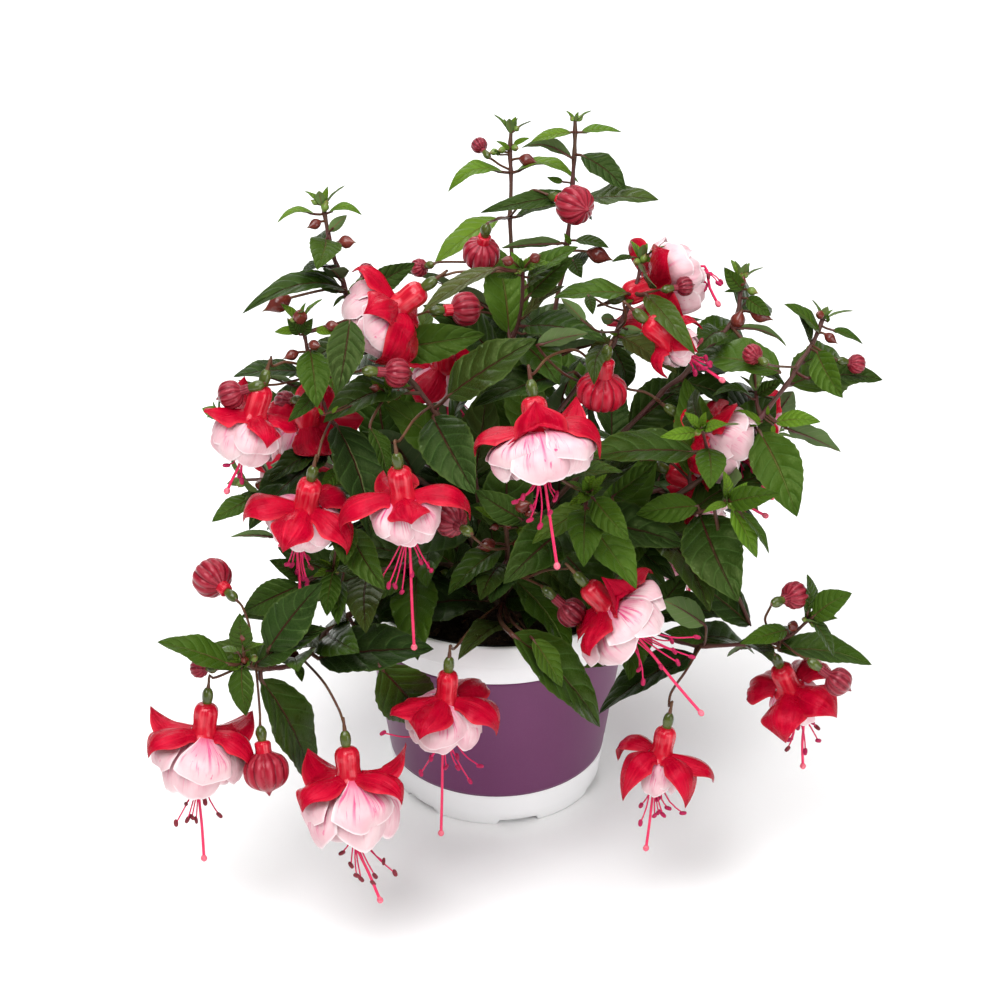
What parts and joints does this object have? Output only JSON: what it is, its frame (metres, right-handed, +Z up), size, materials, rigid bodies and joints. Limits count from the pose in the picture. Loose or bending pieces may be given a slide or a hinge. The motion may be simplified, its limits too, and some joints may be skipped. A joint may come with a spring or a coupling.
{
  "type": "potted fuchsia plant",
  "caption": "Double-flowered trailing fuchsia in a tapered nursery pot: leafy stems with hanging red and pale pink flowers and closed buds, standing on its base.",
  "frame": {"origin": "centre of the pot's base, on the surface it stands on", "axes": "+Z up along the pot's axis, -Y towards the side with the most flowers, +X to the right seen from that side"},
  "size_m": [0.2747, 0.2707, 0.2922],
  "materials": {
    "pot_white": "satin white moulded plastic, dark inside",
    "label_purple": "satin coated label, plain purple",
    "compost": "damp peat, rough",
    "bark": "rough woody stem",
    "flower": "waxy red sepals and tube, soft pale pink corolla",
    "bud": "waxy ribbed dark red",
    "foliage": "semi-matt dark green with a waxy sheen"
  },
  "bodies": {
    "root": {"pot": "pot_white", "pot_label": "label_purple", "soil": "compost", "crown": "bark", "flower_01": "flower", "flower_02": "flower", "flower_03": "flower", "flower_04": "flower", "flower_05": "flower", "flower_06": "flower", "flower_07": "flower", "flower_08": "flower", "flower_09": "flower", "flower_11": "flower", "flower_12": "flower", "flower_13": "flower", "flower_14": "flower", "flower_15": "flower", "flower_16": "flower", "flower_17": "flower", "flower_18": "flower", "flower_19": "flower", "flower_20": "flower", "flower_21": "flower", "flower_22": "flower", "flower_24": "flower", "flower_25": "flower", "bud_01": "bud", "bud_02": "bud", "bud_03": "bud", "bud_05": "bud", "bud_11": "bud", "bud_21": "bud", "branch_left_tall": "foliage", "branch_left": "foliage", "branch_top_centre": "foliage", "branch_top_right": "foliage", "branch_centre_short": "foliage", "branch_right_tall": "foliage", "branch_right": "foliage", "branch_far_right": "foliage", "branch_front_tip": "foliage", "branch_front_right": "foliage", "branch_trailing_right": "foliage", "branch_front_centre": "foliage", "branch_trailing_left": "foliage", "branch_front_left": "foliage", "branch_back_1": "foliage", "branch_back_2": "foliage", "branch_back_3": "foliage", "branch_back_4": "foliage", "branch_back_5": "foliage", "branch_back_6": "foliage", "branch_back_7": "foliage", "branch_back_8": "foliage", "branch_back_9": "foliage", "branch_back_10": "foliage", "branch_back_11": "foliage"}
  },
  "joints": []
}
